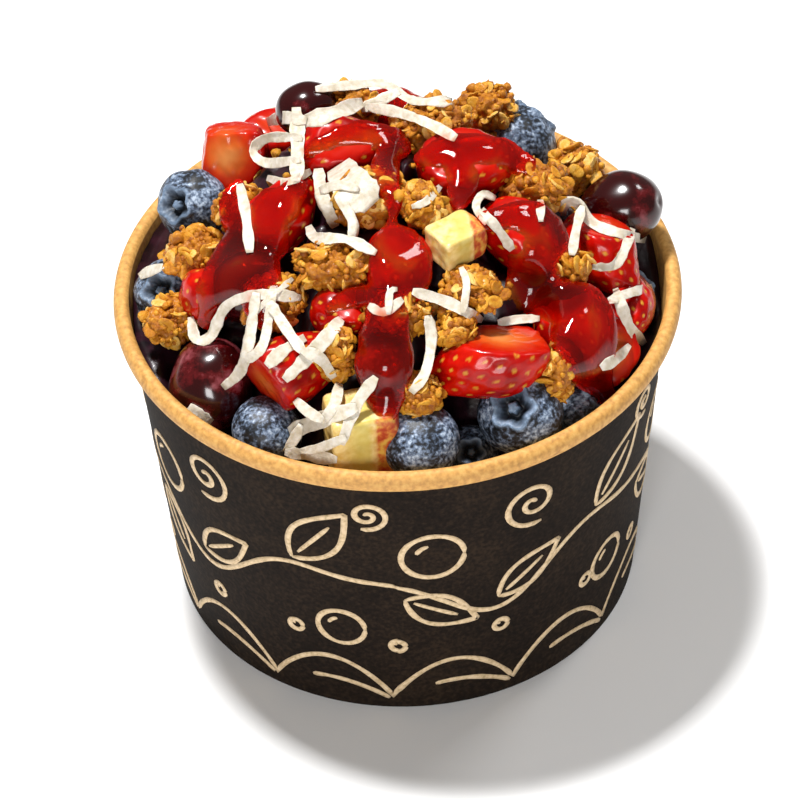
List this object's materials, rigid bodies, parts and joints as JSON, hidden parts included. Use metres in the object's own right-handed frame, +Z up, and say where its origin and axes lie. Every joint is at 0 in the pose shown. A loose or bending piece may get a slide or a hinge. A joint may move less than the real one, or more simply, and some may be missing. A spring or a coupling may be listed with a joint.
{
  "type": "acai bowl",
  "caption": "Round kraft paper cup filled with dark acai and heaped with berries, grapes, diced strawberries, apple, granola, coconut shreds and poured red syrup.",
  "frame": {"origin": "middle of the cup's foot, on the surface it stands on", "axes": "+Z up, -Y towards the viewer, +X to the viewer's right"},
  "size_m": [0.115, 0.115, 0.1091],
  "materials": {
    "kraft_paper": "matt kraft paper, its outside printed black with kraft lines",
    "acai": "moist, near black",
    "blueberry": "dark blue with a pale bloom",
    "grape": "dark red with a pale bloom",
    "strawberry": "wet red skin with pale seeds, orange-pink cut faces",
    "apple": "cream flesh with a strip of red and yellow skin",
    "granola": "rough, toasted"
  },
  "bodies": {
    "root": {"acai_base": "acai", "apple_front": "apple", "apple_upper": "apple", "blueberry_back": "blueberry", "blueberry_back_left": "blueberry", "blueberry_behind_left": "blueberry", "blueberry_behind_right": "blueberry", "blueberry_front": "blueberry", "blueberry_front_left": "blueberry", "blueberry_front_low": "blueberry", "blueberry_front_right": "blueberry", "blueberry_left": "blueberry", "blueberry_right": "blueberry", "blueberry_right_low": "blueberry", "cup_base": "kraft_paper", "cup_wall": "kraft_paper", "granola_back_right": "granola", "granola_behind": "granola", "granola_behind_left": "granola", "granola_behind_low": "granola", "granola_behind_right": "granola", "granola_centre": "granola", "granola_centre_left": "granola", "granola_centre_top": "granola", "granola_front": "granola", "granola_front_right": "granola", "granola_left": "granola", "granola_left_rim": "granola", "granola_left_top": "granola", "granola_left_upper": "granola", "granola_middle": "granola", "granola_right": "granola", "granola_right_back": "granola", "granola_right_centre": "granola", "granola_right_front": "granola", "granola_small_front": "granola", "granola_top": "granola", "granola_top_left": "granola", "grape_front": "grape", "grape_left": "grape", "grape_right": "grape", "grape_top_left": "grape", "grape_under_syrup": "grape", "strawberry_back_left": "strawberry", "strawberry_behind": "strawberry", "strawberry_behind_left": "strawberry", "strawberry_behind_right": "strawberry", "strawberry_centre": "strawberry", "strawberry_front": "strawberry", "strawberry_front_left": "strawberry", "strawberry_left": "strawberry", "strawberry_left_upper": "strawberry", "strawberry_right": "strawberry", "strawberry_right_front": "strawberry", "strawberry_right_low": "strawberry", "strawberry_right_rim": "strawberry", "strawberry_right_upper": "strawberry", "strawberry_small_front": "strawberry", "strawberry_top": "strawberry", "strawberry_upper": "strawberry"}
  },
  "joints": []
}
